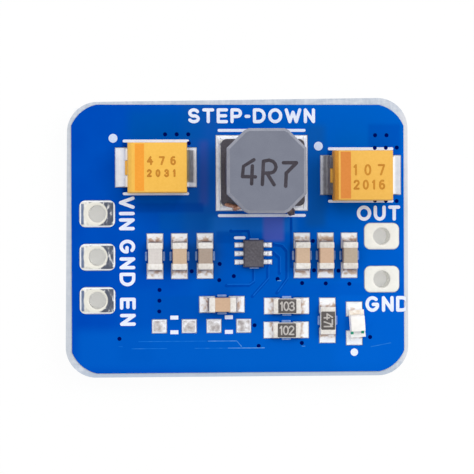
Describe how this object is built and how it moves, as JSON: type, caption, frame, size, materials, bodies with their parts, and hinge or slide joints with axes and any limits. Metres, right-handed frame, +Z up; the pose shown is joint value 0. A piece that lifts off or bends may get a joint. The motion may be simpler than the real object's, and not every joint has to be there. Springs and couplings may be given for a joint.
{
  "type": "buck converter module",
  "caption": "Small blue circuit board that steps a supply voltage down, with a drum-core inductor, yellow tantalum capacitors and plated pin holes.",
  "frame": {"origin": "centre of the board's lower face", "axes": "+X from the input pins to the output pins, +Y towards the inductor's edge, +Z up out of the face that carries the parts"},
  "size_m": [0.0202, 0.0164, 0.0056],
  "materials": {
    "laminate": "matt glass-epoxy edge",
    "solder_mask": "semi-gloss blue lacquer",
    "legend_ink": "white ink",
    "tin": "levelled tin, slightly uneven",
    "ferrite": "ground ferrite, fine grain",
    "copper_wire": "enamelled copper",
    "magnetic_resin": "iron-filled resin",
    "silver_terminal": "tinned silver",
    "tantalum_mould": "matt yellow moulding compound",
    "tantalum_lead": "tinned strip",
    "band_ink": "orange ink",
    "ceramic": "tan ceramic",
    "chip_terminal": "tin plate",
    "alumina": "white alumina",
    "overcoat": "black glaze",
    "regulator_mould": "matt black moulding compound",
    "regulator_lead": "tin plate",
    "led_base": "white base",
    "led_lens": "clear epoxy",
    "led_terminal": "gold flash under tin",
    "solder": "bright solder"
  },
  "bodies": {
    "root": {"pcb_laminate": "laminate", "solder_mask_top": "solder_mask", "solder_mask_bottom": "solder_mask", "legend": "legend_ink", "component_lands": "tin", "input_terminal": "tin", "input_ground_terminal": "tin", "enable_terminal": "tin", "output_terminal": "tin", "output_ground_terminal": "tin", "inductor_core": "ferrite", "inductor_winding": "copper_wire", "inductor_resin": "magnetic_resin", "inductor_input_terminal": "silver_terminal", "inductor_output_terminal": "silver_terminal", "input_tantalum_body": "tantalum_mould", "input_tantalum_anode": "tantalum_lead", "input_tantalum_cathode": "tantalum_lead", "input_tantalum_band": "band_ink", "output_tantalum_body": "tantalum_mould", "output_tantalum_anode": "tantalum_lead", "output_tantalum_cathode": "tantalum_lead", "output_tantalum_band": "band_ink", "input_ceramic_1": "ceramic", "input_ceramic_2": "ceramic", "input_ceramic_3": "ceramic", "output_ceramic_1": "ceramic", "output_ceramic_2": "ceramic", "output_ceramic_3": "ceramic", "bootstrap_ceramic": "ceramic", "input_ceramic_1_terminals": "chip_terminal", "input_ceramic_2_terminals": "chip_terminal", "input_ceramic_3_terminals": "chip_terminal", "output_ceramic_1_terminals": "chip_terminal", "output_ceramic_2_terminals": "chip_terminal", "output_ceramic_3_terminals": "chip_terminal", "bootstrap_ceramic_terminals": "chip_terminal", "upper_feedback_resistor_terminals": "chip_terminal", "lower_feedback_resistor_terminals": "chip_terminal", "led_resistor_terminals": "chip_terminal", "upper_feedback_resistor": "alumina", "lower_feedback_resistor": "alumina", "led_resistor": "alumina", "upper_feedback_resistor_overcoat": "overcoat", "lower_feedback_resistor_overcoat": "overcoat", "led_resistor_overcoat": "overcoat", "regulator_body": "regulator_mould", "regulator_leads": "regulator_lead", "led_base": "led_base", "led_lens": "led_lens", "led_terminals": "led_terminal", "inductor_solder": "solder", "tantalum_solder": "solder", "chip_solder": "solder", "regulator_solder": "solder", "spare_pad_solder": "solder"}
  },
  "joints": []
}
